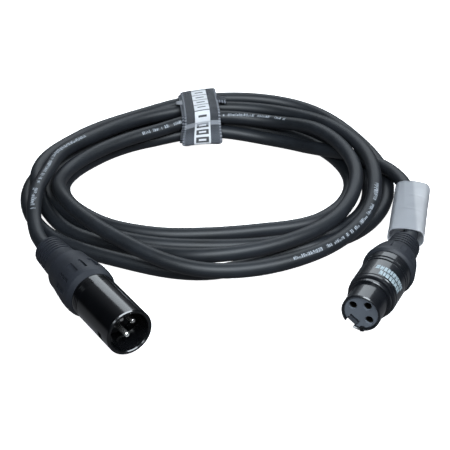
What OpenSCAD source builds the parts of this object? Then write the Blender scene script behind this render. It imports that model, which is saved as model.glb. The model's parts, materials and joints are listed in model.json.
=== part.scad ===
// Coiled three-pole XLR microphone cable: male and female connectors, a jacketed cable
// wound five and a half times round, a hook-and-loop tie and a loose marker sleeve.
// Units are millimetres, +Z is up and the floor is z = 0.

/* [Cable] */
// Outer diameter of the cable jacket
cable_d = 6.6; // [6:0.1:6.7]
// Diameter of one insulated core
core_d = 1.4; // [1:0.1:1.6]
// Diameter of the twisted shield drain
drain_d = 1.2; // [0.8:0.1:1.4]
// Radial clearance between the jacket and what it passes through
jacket_gap = 0.1; // [0.05:0.05:0.2]

/* [Contacts] */
// Diameter of a male contact pin
pin_d = 2.4; // [2.2:0.05:2.5]
// Radial clearance between a pin and the socket it enters
socket_gap = 0.05; // [0.03:0.01:0.1]
// Wall of a socket tube and of a solder cup
contact_wall = 0.3; // [0.2:0.05:0.4]
// Radius of the circle that the three contacts stand on
contact_circle_r = 4.4; // [4.2:0.1:4.6]
// Length of a solder cup behind its insert
cup_len = 5; // [4:0.5:6]
// Radial clearance between a contact and its hole in the insert
contact_gap = 0.05; // [0.02:0.01:0.1]

/* [Male connector] */
// Outer diameter of the barrel
barrel_d = 19.8; // [18.8:0.1:20.2]
// Bore of the barrel in front of the insert
barrel_bore_d = 16.7; // [16.6:0.1:17]
// Length of the barrel in front of the boot
barrel_len = 31; // [30:1:34]
// Depth of the insert's face behind the mouth
male_face_depth = 14; // [13:0.5:15]
// Thickness of the male insert
male_insert_t = 10; // [8:0.5:11]
// Depth of the pin tips behind the mouth
pin_tip_depth = 4.6; // [4:0.2:6]
// Length of the boot behind the barrel
male_boot_len = 42; // [40:1:44]
// Width of the key rib in the barrel
key_w = 3.6; // [3:0.1:4]
// Height of the key rib
key_h = 1.6; // [1.2:0.1:1.8]

/* [Female connector] */
// Outer diameter of the nose that enters a male barrel
nose_d = 16.4; // [16.1:0.1:16.5]
// Length of the nose
nose_len = 10.4; // [10:0.2:11]
// Outer diameter of the shell's label band
shell_d = 20.5; // [20:0.1:21]
// Length of the shell from the mouth to the boot
shell_len = 34; // [33:1:36]
// Length of the boot behind the shell
female_boot_len = 24; // [22:1:26]
// Diameter of the insert in the female shell
female_insert_d = 14.4; // [14:0.1:14.6]
// Thickness of the female insert
female_insert_t = 19.6; // [18:0.2:20]
// Width of the groove that takes the key and holds the latch
groove_w = 4.8; // [4.6:0.1:5]

/* [Latch] */
// Side clearance of the latch lever in its groove
latch_gap = 0.3; // [0.2:0.05:0.4]
// Radial thickness of the lever
lever_t = 1.3; // [1.2:0.1:1.5]
// Height of the catch above the lever
catch_h = 1.3; // [1:0.1:1.4]
// Height of the press button above the shell
button_h = 0.6; // [0.4:0.1:0.8]
// Length of the press button
button_len = 9; // [7:1:10]

/* [Boots] */
// Largest radius of both boots, which is also how high the connectors lie
boot_r = 11.3; // [11.2:0.1:11.6]
// Radius at the rear end of both boots
boot_tail_r = 6.8; // [6.4:0.1:7]
// Depth of a rib groove
rib_depth = 0.7; // [0.5:0.1:0.9]
// Number of rib grooves in each boot
rib_count = 6; // [4:1:6]
// Distance between rib grooves
rib_pitch = 1.9; // [1.7:0.1:2]
// Number of grip recesses round each boot, wide and narrow by turns
grip_count = 14; // [10:2:16]
// Depth of a grip recess
grip_depth = 0.6; // [0.4:0.1:0.7]

/* [Tie] */
// Width of the hook-and-loop tie
tie_w = 18; // [17:0.5:20]
// Thickness of each of its two layers
tie_t = 1.1; // [0.9:0.1:1.2]
// Space between the cable bundle and the tie
tie_gap = 0.3; // [0.2:0.05:0.4]
// How far the outer layer is wound to the right of the inner one
tie_shift = 1.2; // [1:0.2:3]

/* [Marker sleeve] */
// Outer width of the flattened sleeve
sleeve_w = 16; // [16:0.5:18]
// Outer height of the flattened sleeve
sleeve_h = 9.4; // [8.8:0.1:10]
// Length of the sleeve
sleeve_len = 44; // [40:1:46]
// Wall of the sleeve
sleeve_wall = 0.5; // [0.4:0.1:0.6]

/* [Hidden] */

fine = 64;
eps = 0.01;
skin = 0.05;            // running clearance between seated round pieces
cable_r = cable_d / 2;
cable_sides = 6;        // the coil is a six-sided tube that lies on its flats
floor_z = cable_r * cos(180 / cable_sides);

// ---- Coil: five and a half turns, clockwise from the left side ----
// Each row is one turn, with a station every 30 degrees: left, back, right, front, left.
// The distances are from the coil's axis; the heights are above a strand on the floor.
coil_axis = [-7.5, 25.9];
station_step = 30;
turn_radius = [
    [72.5, 64.5, 65, 67.4, 72, 72.3, 76.8, 82, 86, 86.2, 76.5, 73],
    [67.5, 56.5, 52.5, 56.3, 62.5, 64.2, 69.2, 70.4, 72.4, 74.2, 67.2, 75.4],
    [80.6, 74.8, 72.6, 77.8, 91, 87, 85.0, 79.8, 69.2, 76.4, 76.2, 83.9],
    [84.5, 77, 72.5, 73, 76.7, 76.3, 76.2, 72.6, 59.8, 54.6, 58.6, 67.4],
    [76.2, 69.6, 64.8, 63.2, 67.5, 68.9, 67.4, 60, 47, 44.2, 50, 60.2],
    [68.6, 62.2, 57.3, 54.8, 59.3, 61.6, 62]];
turn_height = [
    [13.5, 11.2, 9.4, 9.7, 9.8, 13.6, 13, 8.1, 7.2, 7.4, 11.2, 13.7],
    [7.6, 7.4, 7.5, 9.7, 8.4, 13.6, 10.8, 7.4, 7.9, 7.3, 1.2, 0.3],
    [7.4, 7.5, 7.5, 9.7, 5.4, 2, 0, 0, 0, 0, 0, 0],
    [0, 0, 0, 2.6, 0, 0, 0, 0, 0, 0, 0, 0],
    [0, 0, 0, 2.6, 0, 0, 0, 0, 0, 0, 0, 0],
    [0, 0, 0, 2.6, 0, 3.4, 6.6]];
station_radius = [for (row = turn_radius) each row];
station_height = [for (row = turn_height) each row];
coil_end = 64.5;        // in stations, where the last turn leaves the coil
ring_step = 0.5;        // a ring every 15 degrees
tie_station = 3;        // the tie holds the back of every turn

// Cubic through equally spaced values, read at t
function spline(v, t) =
    let (i = min(max(floor(t), 0), len(v) - 2), f = t - i,
         a = v[max(i - 1, 0)], b = v[i], c = v[i + 1], d = v[min(i + 2, len(v) - 1)])
    (2 * b + (c - a) * f + (2 * a - 5 * b + 4 * c - d) * f * f
        + (3 * b - a - 3 * c + d) * f * f * f) / 2;

function coil_point(t) =
    let (angle = 180 - station_step * t, r = spline(station_radius, t))
    [coil_axis.x + r * cos(angle), coil_axis.y + r * sin(angle),
     floor_z + max(0, spline(station_height, t))];

function unit(v) = v / norm(v);
function coil_heading(t) = unit(coil_point(t + 0.05) - coil_point(t - 0.05));
coil_start_heading = unit(coil_point(0.1) - coil_point(0));
coil_start = coil_point(0) - cable_d * coil_start_heading;
coil_stop_heading = coil_heading(coil_end);
coil_stop = coil_point(coil_end) + cable_d * coil_stop_heading;
coil_path = concat([coil_start], [for (t = [0:ring_step:coil_end]) coil_point(t)], [coil_stop]);

// Least gap of the coil to itself, between points a quarter of a station apart
gap_step = 0.25;
gap_skip = 4;           // points nearer along the cable than this many stations are neighbours
gap_points = [for (t = [0:gap_step:coil_end]) coil_point(t)];
coil_gap = min([for (i = [0:len(gap_points) - 1])
    for (j = [i + gap_skip / gap_step:len(gap_points) - 1])
        norm(gap_points[i] - gap_points[j])]) - cable_d;
echo(coil_least_gap_mm = coil_gap);
echo(coil_length_mm = path_length(coil_path));
echo(coil_box = [for (axis = [0:2])
    [min([for (p = coil_path) p[axis]]), max([for (p = coil_path) p[axis]])]]);

function path_length(p) = len(p) < 2 ? 0 :
    [for (i = 1, s = norm(p[1] - p[0]); i < len(p);
        i = i + 1, s = s + (i < len(p) ? norm(p[i] - p[i - 1]) : 0)) s][len(p) - 2];

// ---- Connector places: mouth centre on the floor plane and heading of the mouth ----
male_mouth = [-36.5, -107.6];
male_turn = 31.5;
male_key_angle = 196;   // the key lies opposite pin 3
female_mouth = [54.3, -94.1];
female_turn = -24;
female_key_angle = 234;

// ---- Cable tails, as points chosen by hand, heights for a cable on its flats ----
male_tail = [[-81.3, -32.1, 11.5], [-83.7, -22.1, 12.7], [-84.8, -12.1, 14.5],
    [-84.7, -2.1, 16], [-83.4, 7.9, 16.4]];
female_tail = [[47.5, 56.9, 7.4], [57, 48.5, 9.7], [66.5, 41.9, 9.7], [75, 35.3, 9.7],
    [80.6, 26.9, 9.7], [84.1, 16.9, 9.8], [85, 3.9, 10], [84.1, -8.1, 10.1],
    [83.1, -20.1, 10.2], [82.1, -28.1, 10.4]];
tail_sides = 12;
tail_cuts = 2;          // rings to each stretch between the points

// ---- Male connector, depths measured back from the mouth ----
barrel_r = barrel_d / 2;
barrel_bore_r = barrel_bore_d / 2;
male_insert_r = barrel_bore_r - skin;
male_insert_back = male_face_depth + male_insert_t;
male_neck_r = 8;
male_neck_len = 12;
male_neck_bore_r = 6.7;
male_jacket_end = male_insert_back + cup_len + 6;
male_total = barrel_len + male_boot_len;
pin_r = pin_d / 2;
shank_r = pin_r + 0.3;  // the pin is thicker where the insert holds it
male_cup_r = pin_r + 0.25;
cup_bore_r = core_d / 2 + 0.1;
ring_bore_r = contact_circle_r + male_cup_r + skin;
chuck_r = 6.6;
chuck_cone = 3;
chuck_nose_r = cable_r + 1.4;
bushing_t = 1.3;

// ---- Female connector ----
nose_r = nose_d / 2;
shell_r = shell_d / 2;
female_face_depth = 0.8;
female_insert_r = female_insert_d / 2;
female_insert_back = female_face_depth + female_insert_t;
socket_r = pin_r + socket_gap;
socket_out_r = socket_r + contact_wall;
socket_depth = 1.6;     // the tube starts this far behind the mouth
socket_entry_r = socket_r + 0.55;
female_neck_r = 8;
female_neck_len = 9;
female_neck_bore_r = 6.7;
female_jacket_end = female_insert_back + cup_len + 8.5;
female_total = shell_len + female_boot_len;

// ---- Latch lever: lies in the groove, turns on a pin near the rear of the shell ----
lever_low = 4.9;        // radius of its inner face
lever_top = lever_low + lever_t;
lever_w = groove_w - 2 * latch_gap;
latch_press = 2.4;      // degrees that the lever turns when it is pressed
groove_floor = lever_low - 1.2;
catch_depth = 2.4;      // the catch, behind the mouth
head_depth = 0.9;       // the front of the lever, just behind the insert's face
head_top = 6.5;         // it passes under the other connector's key
key_slot_w = key_w + 0.4;
catch_len = 1.8;
pivot_depth = 26;
pivot_r = 0.5;
pivot_gap = 0.06;
spring_foot = 15;
spring_bend = 19.6;
spring_tip = pivot_depth - 1.4;
button_start = 14.5;

// ---- Tie ----
tie_at = [-14.3, 98.5];    // middle of the inner layer, on the floor plane
tie_turn = 6;           // the tie runs a little askew
tie_spread = 0.8;       // stations from the middle of the tie to well past its edge
tie_turns = [for (t = [tie_station:12:coil_end]) t];
function to_tie(p) = let (x = p.x - tie_at.x, y = p.y - tie_at.y)
    [x * cos(tie_turn) + y * sin(tie_turn), y * cos(tie_turn) - x * sin(tie_turn), p.z];
tie_strands = [for (t = tie_turns) for (s = [-1:0.1:1])
    let (p = to_tie(coil_point(t + s * tie_spread))) if (abs(p.x) < tie_w / 2 + tie_shift) p];

// ---- Marker sleeve ----
sleeve_front = [79.2, -33];
sleeve_turn = -10.5;
sleeve_z = 10.4;

// Puts a piece that is drawn along +Z, mouth at the origin, into its place
module lay(mouth, turn) {
    translate([mouth.x, mouth.y, boot_r]) rotate([0, 0, turn]) rotate([90, 0, 0]) children();
}
module lay_male() lay(male_mouth, male_turn) children();
module lay_female() lay(female_mouth, female_turn) children();

// Solid of revolution whose outline is given as [radius, depth behind the mouth]
module turned(outline) {
    rotate_extrude($fn = fine) polygon([for (p = outline) [p[0], -p[1]]]);
}
// Straight rod from one depth to a greater one, at a place across the axis
module rod(r, from, to, at = [0, 0]) {
    translate([at.x, at.y, -to]) cylinder(r = r, h = to - from, $fn = 32);
}
// Box that runs out from one radius to another on the side at an angle
module key_block(angle, w, low, high, from, to) {
    rotate([0, 0, angle]) translate([low, -w / 2, -to]) cube([high - low, w, to - from]);
}
function on_circle(r, angle) = [r * cos(angle), r * sin(angle)];
// Contact n of 1 to 3: number 3 faces the key, the others lie a quarter turn to its sides
function contact_at(key_angle, n) =
    on_circle(contact_circle_r, key_angle + (n == 3 ? 180 : n == 2 ? 90 : -90));

// ---- Tubes ----
function ring_points(centre, heading, r, sides) =
    let (side = unit(cross(heading, [0, 0, 1])), up = cross(side, heading))
    [for (k = [0:sides - 1]) let (a = 360 * k / sides) centre + r * (side * cos(a) + up * sin(a))];
module tube(path, headings, r, sides) {
    n = len(path);
    body = [for (i = [0:n - 1]) each ring_points(path[i], headings[i], r, sides)];
    walls = [for (i = [0:n - 2]) for (k = [0:sides - 1])
        let (a = i * sides + k, b = i * sides + (k + 1) % sides, c = a + sides, d = b + sides)
        each [[a, b, d], [a, d, c]]];
    start_cap = [for (k = [1:sides - 2]) [0, k + 1, k]];
    last = (n - 1) * sides;
    end_cap = [for (k = [1:sides - 2]) [last, last + k, last + k + 1]];
    polyhedron(points = body, faces = concat(walls, start_cap, end_cap));
}
function headings_of(path, first, last) =
    [for (i = [0:len(path) - 1]) i == 0 ? first : i == len(path) - 1 ? last :
        unit(path[i + 1] - path[i - 1])];
// Smooth path through hand-chosen points, each stretch cut into equal parts
function smooth(points, cuts) = concat([for (i = [0:len(points) - 2]) for (k = [0:cuts - 1])
    spline3(points, i + k / cuts)], [points[len(points) - 1]]);
function spline3(points, t) = [for (axis = [0:2]) spline([for (p = points) p[axis]], t)];
// A point of a connector: [across, up] from its axis, at a depth behind its mouth
function place(mouth, turn, at, depth) =
    [mouth.x + at.x * cos(turn) - depth * sin(turn),
     mouth.y + at.x * sin(turn) + depth * cos(turn), boot_r + at.y];
function axis_point(mouth, turn, depth) = place(mouth, turn, [0, 0], depth);
function back_heading(turn) = [-sin(turn), cos(turn), 0];

module cable_coil() {
    color([0.17, 0.18, 0.2])
        tube(coil_path, headings_of(coil_path, coil_start_heading, coil_stop_heading),
            cable_r, cable_sides);
}

module cable_tail_male() {
    inner = axis_point(male_mouth, male_turn, male_jacket_end);
    rear = axis_point(male_mouth, male_turn, male_total);
    free = axis_point(male_mouth, male_turn, male_total + cable_d);
    path = concat([inner, rear], smooth(concat([free], male_tail, [coil_start]), tail_cuts));
    color([0.17, 0.18, 0.2])
        tube(path, headings_of(path, back_heading(male_turn), coil_start_heading),
            cable_r, tail_sides);
}

module cable_tail_female() {
    inner = axis_point(female_mouth, female_turn, female_jacket_end);
    rear = axis_point(female_mouth, female_turn, female_total);
    free = axis_point(female_mouth, female_turn, female_total + cable_d);
    path = concat(smooth(concat([coil_stop], female_tail, [free]), tail_cuts), [rear, inner]);
    color([0.17, 0.18, 0.2])
        tube(path, headings_of(path, coil_stop_heading, -back_heading(female_turn)),
            cable_r, tail_sides);
}

// ---- Male connector ----
module male_shell() {
    rear = barrel_len + male_neck_len;
    step = male_insert_back + skin;
    color([0.08, 0.08, 0.09]) lay_male() difference() {
        union() {
            turned([[barrel_bore_r + 0.3, 0], [barrel_r - 0.4, 0], [barrel_r, 0.4],
                [barrel_r, barrel_len], [male_neck_r, barrel_len], [male_neck_r, rear],
                [male_neck_bore_r, rear], [male_neck_bore_r, step], [barrel_bore_r, step],
                [barrel_bore_r, 0.3]]);
            // key rib that turns the other connector the right way round
            key_block(male_key_angle, key_w, barrel_bore_r - key_h, barrel_bore_r + 0.5,
                pin_tip_depth - 1.4, male_face_depth - skin);
        }
        // window that the other connector's catch snaps into
        key_block(male_key_angle, key_w + 1, barrel_bore_r - key_h - 1, barrel_r + 1,
            nose_len - catch_depth - catch_len - 0.6, nose_len - catch_depth + 0.4);
        // short decorative grooves on both sides, in front of the boot
        for (side = [-45, 100]) for (k = [0:2])
            rotate([0, 0, side]) rotate_extrude(angle = 125, $fn = fine)
                translate([barrel_r - 0.3, -(barrel_len - 1.6 - 1.2 * k)]) square([1, 0.6]);
    }
}

module male_insert() {
    color([0.13, 0.13, 0.14]) lay_male() difference() {
        turned([[0, male_face_depth], [male_insert_r, male_face_depth],
            [male_insert_r, male_insert_back], [0, male_insert_back]]);
        for (n = [1:3])
            rod(shank_r + contact_gap, male_face_depth - 1, male_insert_back + 1,
                contact_at(male_key_angle, n));
    }
}

module male_pin(n) {
    at = contact_at(male_key_angle, n);
    tip = 0.8;
    // pin 1 meets first, so it stands a little further forward
    front = pin_tip_depth - (n == 1 ? 0.4 : 0);
    cup_end = male_insert_back + cup_len;
    color([0.85, 0.84, 0.8]) lay_male() translate([at.x, at.y, 0]) difference() {
        turned([[0, front], [pin_r - tip, front], [pin_r - tip / 2, front + tip / 8],
            [pin_r - tip / 6, front + tip / 2], [pin_r, front + tip],
            [pin_r, male_face_depth], [shank_r, male_face_depth],
            [shank_r, male_insert_back], [male_cup_r, male_insert_back],
            [male_cup_r, cup_end], [0, cup_end]]);
        rod(cup_bore_r, male_insert_back + 1.4, cup_end + 1);
    }
}
module male_pin_1() male_pin(1);
module male_pin_2() male_pin(2);
module male_pin_3() male_pin(3);

module male_ground_ring() {
    front = male_insert_back + skin + eps;
    color([0.75, 0.72, 0.6]) lay_male() difference() {
        rod(male_neck_bore_r - 0.02, front, front + 0.5);
        rod(ring_bore_r, front - 1, front + 2);
    }
}

// Slotted collet that grips the jacket
module chuck(from, to) {
    color([0.55, 0.56, 0.58]) difference() {
        turned([[cable_r + jacket_gap, from], [chuck_r - 0.4, from], [chuck_r, from + 0.6],
            [chuck_r, to - chuck_cone], [chuck_nose_r, to], [cable_r + jacket_gap, to]]);
        for (side = [0, 90])
            rotate([0, 0, side]) translate([-chuck_r - 1, -0.4, -to - 1])
                cube([2 * chuck_r + 2, 0.8, (to - from) * 0.6]);
    }
}
male_chuck_from = male_jacket_end + 0.6;
male_chuck_len = 14.4;
male_chuck_to = male_chuck_from + male_chuck_len;
module male_chuck() lay_male() chuck(male_chuck_from, male_chuck_to);

// Threaded hard sleeve inside the boot, screwed over the shell's neck
module bushing(neck_r, from, to) {
    in_r = neck_r + skin;
    color([0.1, 0.1, 0.11]) difference() {
        rod(in_r + bushing_t, from, to);
        rod(in_r, from - 1, to + 1);
    }
}
male_bushing_to = barrel_len + 13;
module male_bushing() lay_male() bushing(male_neck_r, barrel_len + skin, male_bushing_to);

// Rings cut into the rear of a boot, the last one near its end
module rib_grooves(total, tail_slope) {
    for (k = [0:rib_count - 1]) {
        depth = total - 1.4 - k * rib_pitch;
        r = boot_tail_r + tail_slope * (total - depth);
        translate([0, 0, -depth]) difference() {
            cylinder(r = r + 2, h = 0.9, $fn = fine);
            translate([0, 0, -1]) cylinder(r = r - rib_depth, h = 3, $fn = fine);
        }
    }
}
module grip_recesses(r_low, r_high, from, to) {
    for (k = [0:grip_count - 1])
        key_block((k + 0.5) * 360 / grip_count, k % 2 == 0 ? grip_w : grip_slot_w,
            r_low, r_high + 2, from, to);
}

grip_w = 2.6;
grip_slot_w = 1.1;
rib_zone = 1.4 + rib_count * rib_pitch;
tail_slope = 0.06;
module male_boot() {
    front = barrel_len + skin;
    in_r = male_neck_r + skin + bushing_t + skin;
    rib_r = boot_tail_r + tail_slope * rib_zone;
    color([0.16, 0.165, 0.18]) lay_male() difference() {
        turned([[in_r, front], [barrel_r + 0.2, front], [boot_r - 0.2, front + 2.6],
            [boot_r, front + 4.5], [boot_r, front + 8], [10.6, front + 14], [9.9, front + 19],
            [9.6, front + 22.6], [9.1, front + 22.9], [8.4, front + 25],
            [rib_r, male_total - rib_zone], [boot_tail_r, male_total - 0.6],
            [boot_tail_r - 0.6, male_total], [cable_r + jacket_gap, male_total],
            [cable_r + jacket_gap, male_chuck_to + skin],
            [chuck_nose_r + skin, male_chuck_to + skin],
            [chuck_r + skin, male_chuck_to - chuck_cone + skin],
            [chuck_r + skin, male_bushing_to + skin], [in_r, male_bushing_to + skin]]);
        rib_grooves(male_total, tail_slope);
        grip_recesses(boot_r - 0.4 - grip_depth, boot_r, front + 5.5, front + 12.6);
    }
}

// Wire from the cut end of the jacket to a solder cup, as a thin tube
wire_sides = 8;
wire_offset = 1.5;      // how far each wire leaves the jacket from its axis
module wire(d, mouth, turn, angle, jacket_depth, cup_depth) {
    from_at = on_circle(wire_offset, angle);
    to_at = on_circle(contact_circle_r, angle);
    start = place(mouth, turn, from_at, jacket_depth);
    path = concat([start], smooth([place(mouth, turn, from_at, jacket_depth - 1),
        place(mouth, turn, (from_at + to_at) / 2, (jacket_depth + cup_depth) / 2),
        place(mouth, turn, to_at, cup_depth + 1)], 3),
        [place(mouth, turn, to_at, cup_depth - 3)]);
    ahead = -back_heading(turn);
    tube(path, headings_of(path, ahead, ahead), d / 2, wire_sides);
}
module male_wire(d, angle) wire(d, male_mouth, male_turn, male_key_angle + angle,
    male_jacket_end, male_insert_back + cup_len);
module female_wire(d, angle) wire(d, female_mouth, female_turn, female_key_angle + angle,
    female_jacket_end, female_insert_back + cup_len);
module male_core_hot() color([0.7, 0.1, 0.1]) male_wire(core_d, 90);
module male_core_cold() color([0.9, 0.9, 0.88]) male_wire(core_d, 180);
module male_drain() color([0.75, 0.5, 0.3]) male_wire(drain_d, -90);

// ---- Female connector ----
module female_shell() {
    rear = shell_len + female_neck_len;
    step = female_insert_back + skin;
    color([0.08, 0.08, 0.09]) lay_female() difference() {
        turned([[female_insert_r + skin, 0.4], [female_insert_r + 0.4, 0], [nose_r - 0.4, 0],
            [nose_r, 0.4], [nose_r, nose_len], [9.1, nose_len], [9.3, nose_len + 0.2],
            [9.3, nose_len + 1.4], [8.9, nose_len + 1.6], [8.9, nose_len + 2.1],
            [9.8, nose_len + 2.3], [shell_r - 0.2, nose_len + 3], [shell_r - 0.2, nose_len + 4.2],
            [shell_r, nose_len + 4.6], [shell_r, 26.6], [shell_r - 0.5, 26.8],
            [shell_r - 0.5, 27.6], [shell_r, 27.8], [shell_r, 28.8], [shell_r - 0.4, 29],
            [shell_r - 0.4, 29.8], [shell_r, 30], [shell_r, shell_len - 0.4],
            [shell_r - 0.4, shell_len], [female_neck_r, shell_len], [female_neck_r, rear],
            [female_neck_bore_r, rear], [female_neck_bore_r, step],
            [female_insert_r + skin, step]]);
        // groove for the other connector's key, open at the mouth
        key_block(female_key_angle, key_slot_w, female_insert_r - 1, nose_r + 2, -1, nose_len);
        // slot for the latch lever under the shell, and the opening for its button
        key_block(female_key_angle, groove_w, groove_floor, lever_top + 0.5,
            nose_len - 1, pivot_depth + 2);
        key_block(female_key_angle, groove_w, groove_floor, shell_r + 1,
            button_start - 0.4, button_start + button_len + 0.4);
        // cross hole of the latch's pivot
        pivot_hole(pivot_r + 0.02);
        // seat of the ground tab
        key_block(ground_angle, ground_w + 2 * skin, female_insert_r - 1, nose_r + 1,
            -1, ground_to + skin);
    }
}
ground_angle = 278;
ground_w = 1.6;
ground_from = -0.4;
ground_to = 5;

// Rod across the axis at the latch's pivot
pivot_at = (lever_low + lever_top) / 2;
module pivot_hole(r, len = 9) {
    rotate([0, 0, female_key_angle]) translate([pivot_at, 0, -pivot_depth]) rotate([90, 0, 0])
        cylinder(r = r, h = len, center = true, $fn = 32);
}

module female_insert() {
    color([0.3, 0.31, 0.33]) lay_female() difference() {
        turned([[0, female_face_depth], [female_insert_r - 0.3, female_face_depth],
            [female_insert_r, female_face_depth + 0.3],
            [female_insert_r, female_insert_back], [0, female_insert_back]]);
        for (n = [1:3]) {
            at = contact_at(female_key_angle, n);
            rod(socket_entry_r, 0, socket_depth, at);
            rod(socket_out_r + contact_gap, socket_depth, female_insert_back + 1, at);
        }
        key_block(female_key_angle, groove_w, groove_floor, nose_r,
            -1, female_insert_back + 1);
        key_block(ground_angle, ground_w + 2 * skin, female_insert_r - 1, nose_r,
            -1, ground_to + skin);
    }
}

module female_contact(n) {
    at = contact_at(female_key_angle, n);
    cup_end = female_insert_back + cup_len;
    color([0.85, 0.84, 0.8]) lay_female() difference() {
        rod(socket_out_r, socket_depth, cup_end, at);
        rod(socket_r, socket_depth - 1, female_insert_back - 4, at);
        rod(cup_bore_r, female_insert_back + 1.4, cup_end + 1, at);
    }
}
module female_contact_1() female_contact(1);
module female_contact_2() female_contact(2);
module female_contact_3() female_contact(3);

module female_latch() {
    color([0.12, 0.12, 0.13]) lay_female() difference() {
        union() {
            key_block(female_key_angle, lever_w, lever_low, lever_top,
                head_depth, pivot_depth + 1.2);
            key_block(female_key_angle, lever_w, lever_low, head_top, head_depth, catch_depth);
            key_block(female_key_angle, lever_w - 0.8, lever_low, lever_top + catch_h,
                catch_depth, catch_depth + catch_len);
            key_block(female_key_angle, lever_w, lever_low, shell_r + button_h,
                button_start, button_start + button_len);
        }
        pivot_hole(pivot_r + pivot_gap);
    }
}
module female_latch_pivot() {
    color([0.7, 0.7, 0.7]) lay_female() pivot_hole(pivot_r, 8.6);
}
// Bent leaf under the lever, standing on the floor of the groove
module female_latch_spring() {
    leaf = 0.25;
    low = groove_floor + 0.02;
    high = lever_low - 0.1;
    color([0.75, 0.75, 0.75]) lay_female() rotate([0, 0, female_key_angle])
        translate([0, 1.2, 0]) rotate([90, 0, 0]) linear_extrude(2.4)
            polygon([[low, -spring_foot], [low + leaf, -spring_foot],
                [low + leaf, -spring_bend], [high, -spring_tip],
                [high - leaf, -spring_tip], [low, -spring_bend - 0.4]]);
}

module female_ground_tab() {
    color([0.8, 0.78, 0.7]) lay_female()
        key_block(ground_angle, ground_w, female_insert_r - 0.9, nose_r - 0.1,
            ground_from, ground_to);
}

female_chuck_from = female_jacket_end + 0.6;
female_chuck_len = 11.5;
female_chuck_to = female_chuck_from + female_chuck_len;
module female_chuck() lay_female() chuck(female_chuck_from, female_chuck_to);
female_bushing_to = shell_len + 9;
module female_bushing() lay_female()
    bushing(female_neck_r, shell_len + skin, female_bushing_to);

module female_boot() {
    front = shell_len + skin;
    in_r = female_neck_r + skin + bushing_t + skin;
    rib_r = boot_tail_r + tail_slope * rib_zone;
    color([0.16, 0.165, 0.18]) lay_female() difference() {
        turned([[in_r, front], [shell_r, front], [boot_r, front + 0.8], [boot_r, front + 2.6],
            [10.6, front + 6], [9.9, front + 9], [9.3, front + 10.8],
            [rib_r + 0.7, female_total - rib_zone], [rib_r, female_total - rib_zone + 0.4],
            [boot_tail_r, female_total - 0.6], [boot_tail_r - 0.6, female_total],
            [cable_r + jacket_gap, female_total],
            [cable_r + jacket_gap, female_chuck_to + skin],
            [chuck_nose_r + skin, female_chuck_to + skin],
            [chuck_r + skin, female_chuck_to - chuck_cone + skin],
            [chuck_r + skin, female_bushing_to + skin], [in_r, female_bushing_to + skin]]);
        rib_grooves(female_total, tail_slope);
        grip_recesses(10.6 - grip_depth, boot_r, front + 3.4, front + 8.6);
    }
}

module female_core_hot() color([0.7, 0.1, 0.1]) female_wire(core_d, 90);
module female_core_cold() color([0.9, 0.9, 0.88]) female_wire(core_d, 180);
module female_drain() color([0.75, 0.5, 0.3]) female_wire(drain_d, -90);

// ---- Tie: outline of the bundle in the plane across it, grown by a distance ----
module bundle_outline(grow) {
    hull() for (p = tie_strands)
        translate([p.y, p.z]) circle(r = cable_r + grow, $fn = 32);
}
// One layer of the tie, from its left edge; y runs back and z up
module lay_tie() translate([tie_at.x, tie_at.y, 0]) rotate([0, 0, tie_turn]) children();
reach = 60;             // larger than the bundle
module tie_layer(left, inner_grow, clip_low) {
    translate([left, 0, 0]) rotate([90, 0, 90]) linear_extrude(tie_w) difference() {
        intersection() {
            bundle_outline(inner_grow + tie_t);
            translate([-reach, clip_low]) square([2 * reach, reach]);
        }
        bundle_outline(inner_grow);
    }
}
tie_left = -tie_w / 2;
module tie_inner_layer() {
    color([0.2, 0.21, 0.24]) lay_tie() tie_layer(tie_left, tie_gap, 0);
}
// The outer layer covers the front, the top and the back, and ends above the floor
module tie_outer_layer() {
    color([0.3, 0.31, 0.34])
        lay_tie() tie_layer(tie_left + tie_shift, tie_gap + tie_t, tie_t + 0.4);
}
bundle_top = max([for (p = tie_strands) p.z]) + cable_r;
bundle_back = max([for (p = tie_strands) p.y]);
tie_top = bundle_top + tie_gap + 2 * tie_t;
module tie_tag() {
    color([0.72, 0.73, 0.75]) lay_tie()
        translate([tie_left - 2, bundle_back - 17, tie_top]) cube([12, 7, 0.5]);
}
module tie_end() {
    color([0.2, 0.21, 0.24]) lay_tie()
        translate([tie_left + tie_w - 6, bundle_back - 13, tie_top]) cube([12, 7, 1]);
}

// ---- Loose marker sleeve round the female end's tail ----
module flat_oval(w, h) {
    hull() for (side = [-1, 1])
        translate([side * (w - h) / 2, 0]) circle(d = h, $fn = 48);
}
module label_sleeve() {
    color([0.75, 0.77, 0.82, 0.6])
        translate([sleeve_front.x, sleeve_front.y, sleeve_z]) rotate([0, 0, sleeve_turn])
            rotate([90, 0, 0]) translate([0, 0, -sleeve_len]) linear_extrude(sleeve_len)
                difference() {
                    flat_oval(sleeve_w, sleeve_h);
                    flat_oval(sleeve_w - 2 * sleeve_wall, sleeve_h - 2 * sleeve_wall);
                }
}

cable_coil();
cable_tail_male();
cable_tail_female();
male_shell();
male_insert();
male_pin_1();
male_pin_2();
male_pin_3();
male_ground_ring();
male_chuck();
male_bushing();
male_boot();
male_core_hot();
male_core_cold();
male_drain();
female_shell();
female_insert();
female_contact_1();
female_contact_2();
female_contact_3();
female_latch();
female_latch_pivot();
female_latch_spring();
female_ground_tab();
female_chuck();
female_bushing();
female_boot();
female_core_hot();
female_core_cold();
female_drain();
tie_inner_layer();
tie_outer_layer();
tie_tag();
tie_end();
label_sleeve();
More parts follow.
